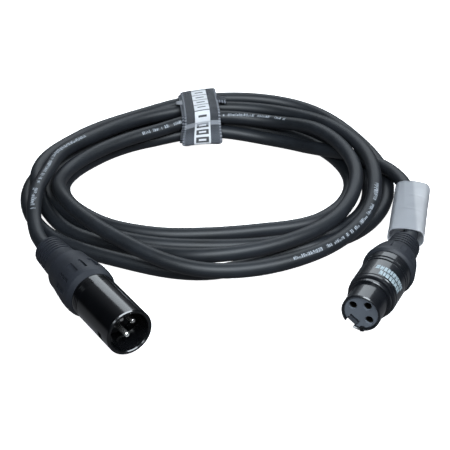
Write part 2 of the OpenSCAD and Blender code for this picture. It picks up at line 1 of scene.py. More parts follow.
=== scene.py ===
import bpy, math, json, random
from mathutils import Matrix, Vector


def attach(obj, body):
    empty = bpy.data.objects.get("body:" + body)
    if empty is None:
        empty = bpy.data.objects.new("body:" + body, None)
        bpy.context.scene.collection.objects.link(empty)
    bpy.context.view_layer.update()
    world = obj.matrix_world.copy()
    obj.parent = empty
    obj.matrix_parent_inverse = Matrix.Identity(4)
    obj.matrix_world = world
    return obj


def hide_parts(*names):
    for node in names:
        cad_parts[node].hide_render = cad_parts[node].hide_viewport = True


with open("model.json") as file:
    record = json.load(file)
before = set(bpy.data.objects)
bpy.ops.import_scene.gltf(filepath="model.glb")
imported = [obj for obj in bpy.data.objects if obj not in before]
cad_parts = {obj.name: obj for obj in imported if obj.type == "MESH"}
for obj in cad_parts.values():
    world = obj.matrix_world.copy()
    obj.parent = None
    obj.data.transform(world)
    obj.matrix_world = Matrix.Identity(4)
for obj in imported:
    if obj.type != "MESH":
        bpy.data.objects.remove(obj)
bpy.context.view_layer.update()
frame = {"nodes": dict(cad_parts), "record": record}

NODES = frame["nodes"]
MM = 0.001
ROOT = "cable_assembly"
SLEEVE = "sleeve"

# ------------------------------------------------------------------ route of the cable
# Lengths are in millimetres up to new_obj(), which turns them into metres.
# The coil's stations are the CAD's own, one row for each turn.
turn_stations = 12
coil_axis = (-7.5, 25.9)
turn_radius = [
    [72.5, 64.5, 65, 67.4, 72, 72.3, 76.8, 82, 86, 86.2, 76.5, 73],
    [67.5, 56.5, 52.5, 56.3, 62.5, 64.2, 69.2, 70.4, 72.4, 74.2, 67.2, 75.4],
    [80.6, 74.8, 72.6, 77.8, 91, 87, 85.0, 79.8, 69.2, 76.4, 76.2, 83.9],
    [84.5, 77, 72.5, 73, 76.7, 76.3, 76.2, 72.6, 59.8, 54.6, 58.6, 67.4],
    [76.2, 69.6, 64.8, 63.2, 67.5, 68.9, 67.4, 60, 47, 44.2, 50, 60.2],
    [68.6, 62.2, 57.3, 54.8, 59.3, 61.6, 62]]
turn_height = [
    [13.5, 11.2, 9.4, 9.7, 9.8, 13.6, 13, 8.1, 7.2, 7.4, 11.2, 13.7],
    [7.6, 7.4, 7.5, 9.7, 8.4, 13.6, 10.8, 7.4, 7.9, 7.3, 1.2, 0.3],
    [7.4, 7.5, 7.5, 9.7, 5.4, 2, 0, 0, 0, 0, 0, 0],
    [0, 0, 0, 2.6, 0, 0, 0, 0, 0, 0, 0, 0],
    [0, 0, 0, 2.6, 0, 0, 0, 0, 0, 0, 0, 0],
    [0, 0, 0, 2.6, 0, 3.4, 6.6]]
male_tail = [(-81.3, -32.1, 11.5), (-83.7, -22.1, 12.7), (-84.8, -12.1, 14.5), (-84.7, -2.1, 16),
    (-83.4, 7.9, 16.4)]
female_tail = [(47.5, 56.9, 7.4), (57, 48.5, 9.7), (66.5, 41.9, 9.7), (75, 35.3, 9.7),
    (80.6, 26.9, 9.7), (84.1, 16.9, 9.8), (85, 3.9, 10), (84.1, -8.1, 10.1),
    (83.1, -20.1, 10.2), (82.1, -28.1, 10.4)]
cable_d = 6.6
cable_r = cable_d / 2
coil_end = 64.5                                 # the coil's last station
cad_sides = 6
flat_z = cable_r * math.cos(math.radians(180 / cad_sides))  # axis height of the CAD's tube
round_up = cable_r - flat_z                     # the round jacket's axis lies this much higher
step = 0.1                                      # stations between two points of the route
tail_cuts = 5

# Connectors: middle of the mouth, turn in degrees, and depths behind the mouth.
axis_z = 11.3
male_mouth, male_turn = (-36.5, -107.6), 31.5
female_mouth, female_turn = (54.3, -94.1), -24.0
male_total, female_total = 73.0, 58.0
male_jacket_end, female_jacket_end = 35.0, 33.9
male_exit_depth = 50.0
male_depths = (male_jacket_end, 42, male_exit_depth, 58, 66, male_total)
female_depths = (female_total, 50, 42, female_jacket_end)
# How far from the coil each tail begins and ends to sink to its connector's axis.
male_settle, female_settle = (30, 62), (45, 72)

# Camera: its tilt below the horizon, distance, aim and focal length.
cam_tilt, cam_far = 30, 640
cam_aim = Vector((0.5, -4.1, 0))
sensor_mm, focal_px, frame_px = 36.0, 1400, 450

RR = [v for row in turn_radius for v in row]
ZZ = [v for row in turn_height for v in row]

def spline(v, t):
    """Value at t of the smooth curve through the values v, which stand one apart."""
    i = min(max(math.floor(t), 0), len(v) - 2)
    f = t - i
    a, b, c, d = v[max(i - 1, 0)], v[i], v[i + 1], v[min(i + 2, len(v) - 1)]
    return (2 * b + (c - a) * f + (2 * a - 5 * b + 4 * c - d) * f * f
            + (3 * b - a - 3 * c + d) * f ** 3) / 2

def coil_point(t, z_from=flat_z):
    """Point on the coil's axis at station t."""
    ang = math.radians(180 - 360 / turn_stations * t)
    r = spline(RR, t)
    return Vector((coil_axis[0] + r * math.cos(ang), coil_axis[1] + r * math.sin(ang),
                   z_from + max(0.0, spline(ZZ, t))))

def place(mouth, turn, at, depth):
    """Point of a connector: at across and up from its axis, depth behind its mouth."""
    a = math.radians(turn)
    return Vector((mouth[0] + at[0] * math.cos(a) - depth * math.sin(a),
                   mouth[1] + at[0] * math.sin(a) + depth * math.cos(a), axis_z + at[1]))

def smooth3(points, cuts):
    """Smooth curve through the points, each stretch cut in equal steps."""
    out = []
    for i in range(len(points) - 1):
        for k in range(cuts):
            t = i + k / cuts
            out.append(Vector([spline([p[a] for p in points], t) for a in range(3)]))
    out.append(Vector(points[-1]))
    return out

def lengths(path):
    """Distance along the path at each of its points."""
    s = [0.0]
    for a, b in zip(path, path[1:]):
        s.append(s[-1] + (b - a).length)
    return s

start_dir = (coil_point(0.1) - coil_point(0)).normalized()
stop_dir = (coil_point(coil_end + 0.05) - coil_point(coil_end - 0.05)).normalized()
coil_start = coil_point(0) - cable_d * start_dir
coil_stop = coil_point(coil_end) + cable_d * stop_dir
coil_path = ([coil_start] + [coil_point(k * step) for k in range(int(coil_end / step) + 1)]
             + [coil_stop])
tail_a = smooth3([place(male_mouth, male_turn, (0, 0), male_total + cable_d)]
                 + [Vector(p) for p in male_tail] + [coil_start], tail_cuts)
tail_b = smooth3([coil_stop] + [Vector(p) for p in female_tail]
                 + [place(female_mouth, female_turn, (0, 0), female_total + cable_d)], tail_cuts)

def lifted(path, weight):
    """The path raised to the round jacket's height, by weight(distance, whole length)."""
    s = lengths(path)
    return [p + Vector((0, 0, round_up * weight(x, s[-1]))) for p, x in zip(path, s)]

def ease(x, a, b):
    """0 up to a, 1 from b on, and smooth between them."""
    f = min(max((x - a) / (b - a), 0.0), 1.0)
    return f * f * (3 - 2 * f)

tail_a = lifted(tail_a, lambda x, n: 1 - ease(n - x, *male_settle))
tail_b = lifted(tail_b, lambda x, n: 1 - ease(x, *female_settle))
coil_v = lifted(coil_path, lambda x, n: 1)
inside_a = [place(male_mouth, male_turn, (0, 0), d) for d in male_depths]
inside_b = [place(female_mouth, female_turn, (0, 0), d) for d in female_depths]
cable_path = inside_a + tail_a + coil_v[1:] + tail_b[1:] + inside_b
cable_s = lengths(cable_path)

# ------------------------------------------------------------------ helpers
def new_obj(name, verts, faces, smooth=True, uvs=None):
    """Object from points in millimetres; uvs holds one pair for each point."""
    me = bpy.data.meshes.new(name)
    me.from_pydata([tuple(Vector(v) * MM) for v in verts], [], faces)
    me.validate()
    if uvs is not None:
        layer = me.uv_layers.new(name="UVMap")
        for poly in me.polygons:
            for li, vi in zip(poly.loop_indices, poly.vertices):
                layer.data[li].uv = uvs[vi]
    ob = bpy.data.objects.new(name, me)
    bpy.context.scene.collection.objects.link(ob)
    if smooth:
        for p in me.polygons:
            p.use_smooth = True
    return ob

def frames(path):
    """Side and up vectors that turn as little as possible along the path."""
    n = len(path)
    tang = []
    for i in range(n):
        a, b = path[max(i - 1, 0)], path[min(i + 1, n - 1)]
        tang.append((b - a).normalized())
    side = tang[0].cross(Vector((0, 0, 1))).normalized()
    out = []
    for i in range(n):
        side = (side - tang[i] * side.dot(tang[i])).normalized()
        out.append((tang[i], side, side.cross(tang[i]).normalized()))
    return out

def sweep(name, path, radius, sides):
    """Closed round tube, with a UV map: length in centimetres, turn round the tube."""
    s = lengths(path)
    verts, faces, uv = [], [], []
    for (_, a, b), p in zip(frames(path), path):
        for k in range(sides):
            g = 2 * math.pi * k / sides
            verts.append(p + (a * math.cos(g) + b * math.sin(g)) * radius)
    n = len(path)
    for i in range(n - 1):
        for k in range(sides):
            k2 = (k + 1) % sides
            a, b = i * sides, (i + 1) * sides
            faces.append((a + k, a + k2, b + k2, b + k))
            uv.append([(s[i], k), (s[i], k + 1), (s[i + 1], k + 1), (s[i + 1], k)])
    faces.append(tuple(reversed(range(sides))))
    uv.append([(0, 0)] * sides)
    faces.append(tuple((n - 1) * sides + k for k in range(sides)))
    uv.append([(0, 0)] * sides)
    ob = new_obj(name, verts, faces)
    layer = ob.data.uv_layers.new(name="UVMap")
    for poly, c in zip(ob.data.polygons, uv):
        for li, (u, v) in zip(poly.loop_indices, c):
            layer.data[li].uv = (u / 10.0, v / sides)
    return ob

# ------------------------------------------------------------------ materials
def material(name):
    m = bpy.data.materials.new(name)
    m.use_nodes = True
    nt = m.node_tree
    nt.nodes.clear()
    out = nt.nodes.new("ShaderNodeOutputMaterial")
    bsdf = nt.nodes.new("ShaderNodeBsdfPrincipled")
    nt.links.new(bsdf.outputs[0], out.inputs[0])
    return m, nt, bsdf

def srgb(h):
    """Linear colour of a screen colour such as #1a1b1d."""
    c = [int(h[i:i + 2], 16) / 255 for i in (1, 3, 5)]
    return tuple(x / 12.92 if x <= 0.04045 else ((x + 0.055) / 1.055) ** 2.4 for x in c) + (1,)

def link(nt, a, b):
    nt.links.new(a, b)

def math_node(nt, op, a, b=None, c=None, clamp=False):
    n = nt.nodes.new("ShaderNodeMath")
    n.operation = op
    n.use_clamp = clamp
    for i, v in enumerate((a, b, c)):
        if v is None:
            continue
        if isinstance(v, (int, float)):
            n.inputs[i].default_value = v
        else:
            nt.links.new(v, n.inputs[i])
    return n.outputs[0]

def mix_color(nt, fac, a, b):
    n = nt.nodes.new("ShaderNodeMix")
    n.data_type = "RGBA"
    for sock, v in ((n.inputs[0], fac), (n.inputs[6], a), (n.inputs[7], b)):
        if isinstance(v, (int, float, tuple)):
            sock.default_value = v
        else:
            nt.links.new(v, sock)
    return n.outputs[2]

def noise_tex(nt, scale, detail=3.0, rough=0.5, vector=None):
    n = nt.nodes.new("ShaderNodeTexNoise")
    n.inputs["Scale"].default_value = scale
    n.inputs["Detail"].default_value = detail
    n.inputs["Roughness"].default_value = rough
    if vector is None:
        tc = nt.nodes.new("ShaderNodeTexCoord")
        vector = tc.outputs["Object"]
    nt.links.new(vector, n.inputs["Vector"])
    return n.outputs[0]

def ramp(nt, fac, stops):
    n = nt.nodes.new("ShaderNodeValToRGB")
    el = n.color_ramp.elements
    while len(el) < len(stops):
        el.new(0.5)
    for e, (p, c) in zip(el, stops):
        e.position = p
        e.color = c if isinstance(c, tuple) else (c, c, c, 1)
    nt.links.new(fac, n.inputs[0])
    return n.outputs[0]

def bump(nt, bsdf, height, dist, strength):
    n = nt.nodes.new("ShaderNodeBump")
    n.inputs["Strength"].default_value = strength
    n.inputs["Distance"].default_value = dist
    nt.links.new(height, n.inputs["Height"])
    nt.links.new(n.outputs[0], bsdf.inputs["Normal"])

def plain(name, color, rough, metal=0.0, grain=900, grain_d=0.00002, vary=0.12, spread=0.08):
    """Moulded, plated or cast surface: tone and roughness vary, with a fine grain."""
    m, nt, b = material(name)
    big = noise_tex(nt, 90, 4, 0.55)
    fine = noise_tex(nt, grain, 2, 0.6)
    c = srgb(color)
    lo = tuple(x * (1 - vary) for x in c[:3]) + (1,)
    hi = tuple(min(1.0, x * (1 + vary)) for x in c[:3]) + (1,)
    link(nt, mix_color(nt, ramp(nt, big, [(0.35, 0.0), (0.65, 1.0)]), lo, hi),
         b.inputs["Base Color"])
    r = math_node(nt, "MULTIPLY_ADD", big, spread * 2, rough - spread)
    link(nt, math_node(nt, "ADD", r, math_node(nt, "MULTIPLY", fine, 0.04)), b.inputs["Roughness"])
    b.inputs["Metallic"].default_value = metal
    bump(nt, b, fine, grain_d, 0.5)
    return m

def map_uv(nt):
    """U and V of the piece's UV map."""
    uv = nt.nodes.new("ShaderNodeUVMap")
    sep = nt.nodes.new("ShaderNodeSeparateXYZ")
    link(nt, uv.outputs[0], sep.inputs[0])
    return sep.outputs[0], sep.outputs[1]

def jacket_material():
    """Matt rubber with long streaks, clouds and fine pores."""
    m, nt, b = material("jacket_rubber")
    along, turn = map_uv(nt)
    comb = nt.nodes.new("ShaderNodeCombineXYZ")
    link(nt, math_node(nt, "MULTIPLY", along, 0.35), comb.inputs[0])
    ang = math_node(nt, "MULTIPLY", turn, 2 * math.pi)
    link(nt, math_node(nt, "MULTIPLY", math_node(nt, "COSINE", ang), 1.6), comb.inputs[1])
    link(nt, math_node(nt, "MULTIPLY", math_node(nt, "SINE", ang), 1.6), comb.inputs[2])
    streak = noise_tex(nt, 6.0, 4, 0.55, comb.outputs[0])
    cloud = noise_tex(nt, 60, 4, 0.6)
    pore = noise_tex(nt, 2600, 2, 0.55)
    tone = math_node(nt, "ADD", math_node(nt, "MULTIPLY", cloud, 0.6),
                     math_node(nt, "MULTIPLY", streak, 0.4))
    link(nt, mix_color(nt, ramp(nt, tone, [(0.36, 0.0), (0.64, 1.0)]),
                       srgb("#111418"), srgb("#1d2127")), b.inputs["Base Color"])
    rough = math_node(nt, "MULTIPLY_ADD", tone, 0.14, 0.38)
    link(nt, math_node(nt, "ADD", rough, math_node(nt, "MULTIPLY", pore, 0.08)),
         b.inputs["Roughness"])
    b.inputs["Specular IOR Level"].default_value = 0.54
    h = math_node(nt, "ADD", math_node(nt, "MULTIPLY", streak, 0.7),
                  math_node(nt, "MULTIPLY", pore, 0.3))
    bump(nt, b, h, 0.00006, 0.6)
    return m

def black_chrome(name, dark, pale, rough):
    """Black plating under a clear gloss."""
    m, nt, b = material(name)
    big = noise_tex(nt, 120, 3, 0.5)
    fine = noise_tex(nt, 1800, 2, 0.5)
    link(nt, mix_color(nt, big, srgb(dark), srgb(pale)), b.inputs["Base Color"])
    b.inputs["Metallic"].default_value = 0.3
    b.inputs["Specular IOR Level"].default_value = 0.6
    link(nt, math_node(nt, "MULTIPLY_ADD", big, 0.08, rough), b.inputs["Roughness"])
    b.inputs["Coat Weight"].default_value = 0.6
    b.inputs["Coat Roughness"].default_value = 0.06
    bump(nt, b, fine, 0.000006, 0.4)
    return m

def wave(nt, x, period):
    """0 to 1 to 0 over a period."""
    a = math_node(nt, "MULTIPLY_ADD", x, 2 * math.pi / period, 0.0)
    return math_node(nt, "MULTIPLY_ADD", math_node(nt, "SINE", a), 0.5, 0.5)

def between(nt, x, lo, hi):
    """1 where x is over lo and under hi, else 0."""
    a = math_node(nt, "GREATER_THAN", x, lo)
    b = math_node(nt, "LESS_THAN", x, hi)
    return math_node(nt, "MULTIPLY", a, b)

# The tie's webbing, in millimetres across (u) and along (v).
tie_w = 18.0
cord_edge, stitch_pitch = 1.0, 1.3
diamond = (0.95, 1.15)
thread_pitch = 0.38
pale_from, pale_to = 5.3, 12.9
bar_pitch, bar_half = 5.6, 2.1
frame_pitch, frame_half, frame_hole_half = 3.3, 2.9, 1.7

def webbing(name, ground, thread, pale_tone=None, fold_at=None):
    """Woven band: diamond twill and corded edges. With pale_tone it has a pale middle too, with
    plain bars above the fold and plain frames below it, a ground painted paler below the fold
    for the light falling there, and a painted highlight along the fold."""
    m, nt, b = material(name)
    u, v = map_uv(nt)
    cloud = noise_tex(nt, 160, 3, 0.6)
    fuzz = noise_tex(nt, 3200, 2, 0.6)
    rising, falling = [wave(nt, math_node(nt, op, math_node(nt, "DIVIDE", u, diamond[0]),
                                          math_node(nt, "DIVIDE", v, diamond[1])), 1.0)
                       for op in ("ADD", "SUBTRACT")]
    lattice = math_node(nt, "MAXIMUM", rising, falling)
    thin = wave(nt, v, thread_pitch)
    weave = math_node(nt, "MULTIPLY_ADD", thin, 0.16, math_node(nt, "MULTIPLY", lattice, 0.84))
    tone = ramp(nt, math_node(nt, "MULTIPLY_ADD", fuzz, 0.10, weave), [(0.94, 0.0), (1.04, 1.0)])
    base = srgb(ground)
    if pale_tone:
        # painted light: the ground is painted paler below the fold, where the band faces the front
        # lamp
        painted_front_light = nt.nodes.new("ShaderNodeMapRange")
        link(nt, v, painted_front_light.inputs["Value"])
        painted_front_light.inputs["From Min"].default_value = fold_at - 1.0
        painted_front_light.inputs["From Max"].default_value = fold_at + 9.0
        base = mix_color(nt, painted_front_light.outputs[0], base, srgb("#44474e"))
    col = mix_color(nt, tone, base, srgb(thread))
    # corded edges, with a pale stitch every stitch_pitch
    edge = math_node(nt, "ADD", math_node(nt, "LESS_THAN", u, cord_edge),
                     math_node(nt, "GREATER_THAN", u, tie_w - cord_edge))
    stitch = math_node(nt, "GREATER_THAN", wave(nt, v, stitch_pitch), 0.5)
    col = mix_color(nt, math_node(nt, "MULTIPLY", edge, math_node(nt, "MULTIPLY", stitch, 0.75)),
                    col, srgb(thread))
    if pale_tone:
        inside = between(nt, u, pale_from, pale_to)
        mid = math_node(nt, "ABSOLUTE", math_node(nt, "SUBTRACT", u, (pale_from + pale_to) / 2))

        def block(at, lo, hi, half):
            return math_node(nt, "MULTIPLY", between(nt, at, lo, hi),
                             math_node(nt, "LESS_THAN", mid, half))

        bar_at = math_node(nt, "FRACT", math_node(nt, "DIVIDE", v, bar_pitch))
        cuts = math_node(nt, "MAXIMUM", math_node(nt, "LESS_THAN", bar_at, 0.09),
                         block(bar_at, 0.46, 0.62, bar_half))
        frame_at = math_node(nt, "FRACT", math_node(nt, "DIVIDE", v, frame_pitch))
        rings = math_node(nt, "SUBTRACT", block(frame_at, 0.2, 0.88, frame_half),
                          block(frame_at, 0.42, 0.66, frame_hole_half), clamp=True)
        low = math_node(nt, "GREATER_THAN", v, fold_at)
        fold = between(nt, v, fold_at - 0.6, fold_at + 1.6)
        dark = math_node(nt, "MULTIPLY", inside, mix_color(nt, low, cuts, rings))
        pale = mix_color(nt, math_node(nt, "MULTIPLY", thin, 0.35), srgb(pale_tone),
                         srgb("#aab0bb"))
        col = mix_color(nt, inside, col, pale)
        col = mix_color(nt, math_node(nt, "MULTIPLY", dark, 0.9), col, srgb("#14161a"))
        # painted highlight: a pale stripe along the fold, where the crease catches the light
        col = mix_color(nt, math_node(nt, "MULTIPLY", fold, 0.45), col, srgb("#c9cdd6"))
    col = mix_color(nt, math_node(nt, "MULTIPLY", cloud, 0.18), col, srgb(ground))
    link(nt, col, b.inputs["Base Color"])
    b.inputs["Roughness"].default_value = 0.8
    b.inputs["Specular IOR Level"].default_value = 0.15
    b.inputs["Sheen Weight"].default_value = 0.08
    b.inputs["Sheen Roughness"].default_value = 0.5
    h = math_node(nt, "ADD", math_node(nt, "MULTIPLY", weave, 0.8),
                  math_node(nt, "MULTIPLY", fuzz, 0.2))
    bump(nt, b, h, 0.00022, 0.8)
    return m

def sleeve_material():
    """Soft clear vinyl gone milky: mostly scattered light, a little see-through."""
    m, nt, b = material("clear_sleeve")
    u, v = map_uv(nt)
    cloud = noise_tex(nt, 70, 4, 0.6)
    scratch = noise_tex(nt, 900, 2, 0.6)
    # painted shade: a long crease runs down the upper wall; past it the wall is painted darker,
    # where the dark cable inside shows through, and it is paler on its right, where the cable lies
    # farther off
    turn = math_node(nt, "SUBTRACT", v, math_node(nt, "MULTIPLY_ADD", u, 0.043, 4.4))
    shade = ramp(nt, math_node(nt, "MULTIPLY_ADD", turn, 0.25, 0.5), [(0.44, 0.0), (0.56, 1.0)])
    milk = mix_color(nt, ramp(nt, cloud, [(0.3, 0.0), (0.7, 1.0)]), srgb("#c6c7cb"),
                     srgb("#d8d8db"))
    link(nt, mix_color(nt, math_node(nt, "MULTIPLY", shade, 0.7), milk, srgb("#9b9fa7")),
         b.inputs["Base Color"])
    link(nt, math_node(nt, "MULTIPLY_ADD", scratch, 0.14, 0.24), b.inputs["Roughness"])
    b.inputs["Specular IOR Level"].default_value = 0.4
    b.inputs["Subsurface Weight"].default_value = 0.15
    b.inputs["Subsurface Radius"].default_value = (0.004, 0.004, 0.0045)
    b.inputs["Subsurface Scale"].default_value = 1.0
    b.inputs["Coat Weight"].default_value = 0.25
    b.inputs["Coat Roughness"].default_value = 0.15
    clear = nt.nodes.new("ShaderNodeBsdfTransparent")
    clear.inputs[0].default_value = (0.86, 0.88, 0.92, 1)
    milky = nt.nodes.new("ShaderNodeBsdfTranslucent")
    milky.inputs[0].default_value = srgb("#dcdde0")
    shader = b
    for other, share in ((milky, 0.35), (clear, 0.16)):
        mix = nt.nodes.new("ShaderNodeMixShader")
        mix.inputs[0].default_value = share
        link(nt, shader.outputs[0], mix.inputs[1])
        link(nt, other.outputs[0], mix.inputs[2])
        shader = mix
    out = [n for n in nt.nodes if n.type == "OUTPUT_MATERIAL"][0]
    link(nt, shader.outputs[0], out.inputs[0])
    h = math_node(nt, "ADD", math_node(nt, "MULTIPLY", cloud, 0.8),
                  math_node(nt, "MULTIPLY", scratch, 0.1))
    bump(nt, b, h, 0.0006, 0.35)
    return m

def ink(name, color, wear):
    """Printed ink, thin and worn through in specks."""
    m, nt, b = material(name)
    speck = noise_tex(nt, 1500, 3, 0.6)
    cloud = noise_tex(nt, 300, 3, 0.6)
    link(nt, mix_color(nt, ramp(nt, cloud, [(0.3, 0.0), (0.7, 1.0)]), srgb(color),
                       tuple(0.78 * c for c in srgb(color)[:3]) + (1,)), b.inputs["Base Color"])
    link(nt, ramp(nt, speck, [(wear, 0.25), (wear + 0.08, 1.0)]), b.inputs["Alpha"])
    b.inputs["Roughness"].default_value = 0.55
    return m

MAT = {
    "ink": ink("ink", "#a2a8b0", 0.36),
    "ink_white": ink("ink_white", "#a3b2b9", 0.36),
    "tie_face": webbing("tie_face", "#0c0d10", "#a9adb6", pale_tone="#f2f3f6", fold_at=73.0),
    "tie_dark": webbing("tie_dark", "#15171b", "#8e929c"),
    "tag_cloth": plain("tag_cloth", "#85878c", 0.75, grain=2600, grain_d=0.00006, vary=0.10),
    "clear_sleeve": sleeve_material(),
    "jacket": jacket_material(),
    "black_chrome": black_chrome("black_chrome", "#08090b", "#101114", 0.14),
    # paler copy of the black chrome: painted reflection for the female shell's brighter shine
    "chrome_painted_sheen": black_chrome("chrome_painted_sheen", "#131418", "#1f2227", 0.24),
    "insert_black": plain("insert_black", "#17181a", 0.45, grain=1600),
    "insert_grey": plain("insert_grey", "#62676f", 0.42, grain=1600),
    "contact_silver": plain("contact_silver", "#f6f5f2", 0.2, metal=0.92, grain=2400,
                            grain_d=0.000002, vary=0.03, spread=0.03),
    # dark metal: painted shade inside the female sockets
    "socket_painted_shade": plain("socket_painted_shade", "#3e3b36", 0.4, metal=1.0, grain=2400, vary=0.06),
    "tab_metal": plain("tab_metal", "#2c2d30", 0.4, metal=0.8, grain=2000, vary=0.08),
    "spring_metal": plain("spring_metal", "#b9b6ad", 0.3, metal=1.0, grain=2000, grain_d=0.000005),
    "zinc": plain("zinc", "#8d8f92", 0.42, metal=1.0, grain=900),
    "hard_plastic": plain("hard_plastic", "#1a1b1d", 0.35, grain=1500),
    "boot": plain("boot", "#22252c", 0.50, grain=2200, grain_d=0.00003, vary=0.14),
    "latch_metal": plain("latch_metal", "#4c5057", 0.36, metal=0.3, grain=1400),
    "core_red": plain("core_red", "#a32020", 0.3, grain=1200),
    "core_white": plain("core_white", "#e4e3df", 0.3, grain=1200),
    "copper": plain("copper", "#b9764a", 0.35, metal=1.0, grain=2600, grain_d=0.00004),
}
rec = frame["record"]
slot_of = {s["node"]: s.get("material_slot", s["node"]) for s in rec["subparts"]}
# the female shell gets the paler chrome copy as a painted reflection
own_look = {"female_shell": "chrome_painted_sheen", "female_ground_tab": "tab_metal"}
# painted shade: the female contacts are dark so their sockets look shaded
own_look.update({"female_contact_%d" % i: "socket_painted_shade" for i in (1, 2, 3)})
for name, ob in NODES.items():
    look = own_look.get(name, slot_of.get(name))
    ob.data.materials.clear()
    ob.data.materials.append(MAT.get(look, MAT["hard_plastic"]))

# ------------------------------------------------------------------ cable
cable = sweep("cable", cable_path, cable_r, 20)
cable.data.materials.append(MAT["jacket"])
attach(cable, ROOT)
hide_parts("cable_coil", "cable_tail_male", "cable_tail_female")

# ------------------------------------------------------------------ marks on the jacket
coil_s0 = cable_s[len(inside_a) + len(tail_a) - 1]
to_camera = Vector((0, -math.cos(math.radians(cam_tilt)), math.sin(math.radians(cam_tilt))))
mark_h = 1.6        # height of the small marks
ink_lift = 0.035    # how far the ink stands off the jacket
bar_widths, bar_gaps = (0.22, 0.3, 0.55, 0.7), (0.25, 0.35)
bar_heights = (1.0, 1.0, 0.55, 0.8)         # parts of the run's height
wide_gap, wide_gap_chance = 1.3, 0.09

def coil_length(t):
    """Distance along the cable of station t of the coil."""
    i = int(t / step)
    s = lengths(coil_v)
    return coil_s0 + s[i + 1] + (t / step - i) * (s[i + 2] - s[i + 1])

def cable_at(x):
    """Point and direction of the cable at distance x along it."""
    i = min(max(sum(1 for v in cable_s if v <= x) - 1, 0), len(cable_s) - 2)
    a, b = cable_path[i], cable_path[i + 1]
    f = (x - cable_s[i]) / max(cable_s[i + 1] - cable_s[i], 1e-9)
    return a.lerp(b, f), (b - a).normalized()

def printed_run(name, s_from, s_to, shift, height, seed):
    """Plain bars of ink along the side of the jacket that the camera sees. They spell nothing.
    shift is how far round the jacket, in mm upward, the run begins and ends."""
    rnd = random.Random(seed)
    rows = 5
    verts, faces = [], []
    x = s_from
    while x < s_to:
        w = rnd.choice(bar_widths) * height / mark_h
        if rnd.random() < wide_gap_chance:
            x += wide_gap
        f = (x - s_from) / max(s_to - s_from, 1e-9)
        turn = (shift[0] + (shift[1] - shift[0]) * f) / cable_r
        tall = height * rnd.choice(bar_heights)
        base = len(verts)
        for xx in (x, min(x + w, s_to)):
            p, t = cable_at(xx)
            out = (to_camera - t * to_camera.dot(t)).normalized()
            up = t.cross(out)
            if up.z < 0:
                up = -up
            for k in range(rows):
                g = turn + (k / (rows - 1) * tall - height / 2) / cable_r
                verts.append(p + (out * math.cos(g) + up * math.sin(g)) * (cable_r + ink_lift))
        for k in range(rows - 1):
            a, b = base + k, base + rows + k
            faces.append((a, b, b + 1, a + 1))
        x += w + rnd.choice(bar_gaps) * height / mark_h
    ob = new_obj(name, verts, faces)
    ob.data.materials.append(MAT["ink"])
    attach(ob, ROOT)

def tail_length(y):
    """Distance along the cable where the male tail passes y."""
    return next(cable_s[i] for i in range(len(inside_a), len(cable_path))
                if cable_path[i].y >= y)

# from, to, shift round the jacket at both ends, height
marks = [
    (tail_length(-20.1), tail_length(-5.9), (0.2, 0.2), 2.3),
    (tail_length(-0.3), coil_length(0.76), (0.2, 1.6), mark_h),
    (coil_length(6.5), coil_length(6.8), (0.0, 0.1), 2.0),
    (coil_length(6.88), coil_length(7.8), (0.1, 0.7), mark_h),
    (coil_length(7.86), coil_length(8.22), (0.7, 1.0), mark_h),
    (coil_length(13.66), coil_length(14.22), (0.4, 0.4), mark_h),
    (coil_length(14.32), coil_length(14.52), (0.4, 0.4), mark_h),
    (coil_length(15.22), coil_length(16.0), (1.0, 2.4), mark_h),
    (coil_length(16.08), coil_length(16.28), (2.4, 2.0), mark_h),
]
for i, (a, b, sh, tall) in enumerate(marks):
    printed_run("jacket_marks_%d" % (i + 1), a, b, sh, tall, 20 + i)

# ------------------------------------------------------------------ hook-and-loop tie
tie_at, tie_turn, tie_t, tie_gap, tie_shift = (-14.3, 98.5), 6.0, 1.1, 0.3, 1.2
tie_stations = [3 + turn_stations * k for k in range(len(turn_radius))]
tie_spread = 0.85               # stations to each side that a strand is looked for
tie_left = -tie_w / 2
strand_halvings = 24
corner_deg = -135               # direction of a band's lower front corner from its middle
band_columns, band_rows = 24, 420
edge_wave = 0.1                 # how far each stitch pulls the edge in and out
edge_skins = (0.28, 0.72)       # lower and upper skin at a corded edge, parts of the thickness
least_z = (0.3, 0.05)           # least height over the floor of the lower and upper skin
tip, thin_tip = 2.0, 0.8        # rounding of a free end's corners, and length that grows thin
loose_part, skew_part = 0.06, 0.10  # parts of the round that slack and skew reach over
loose_rows = 40                 # rows over which slack sets in

def to_tie(p):
    """Point in the tie's own frame: x across the band, y away from the camera."""
    a = math.radians(tie_turn)
    x, y = p.x - tie_at[0], p.y - tie_at[1]
    return Vector((x * math.cos(a) + y * math.sin(a), y * math.cos(a) - x * math.sin(a), p.z))

def from_tie(p):
    """Point of the tie's own frame in the whole object's frame."""
    a = math.radians(tie_turn)
    return Vector((tie_at[0] + p[0] * math.cos(a) - p[1] * math.sin(a),
                   tie_at[1] + p[0] * math.sin(a) + p[1] * math.cos(a), p[2]))

def strand_at(t0, x):
    """Middle of one strand in the plane across the tie at x, by halving."""
    lo, hi = t0 - tie_spread, t0 + tie_spread
    for _ in range(strand_halvings):
        mid = (lo + hi) / 2
        if to_tie(coil_point(mid, cable_r)).x < x:
            lo = mid
        else:
            hi = mid
    p = to_tie(coil_point((lo + hi) / 2, cable_r))
    return p.y, p.z

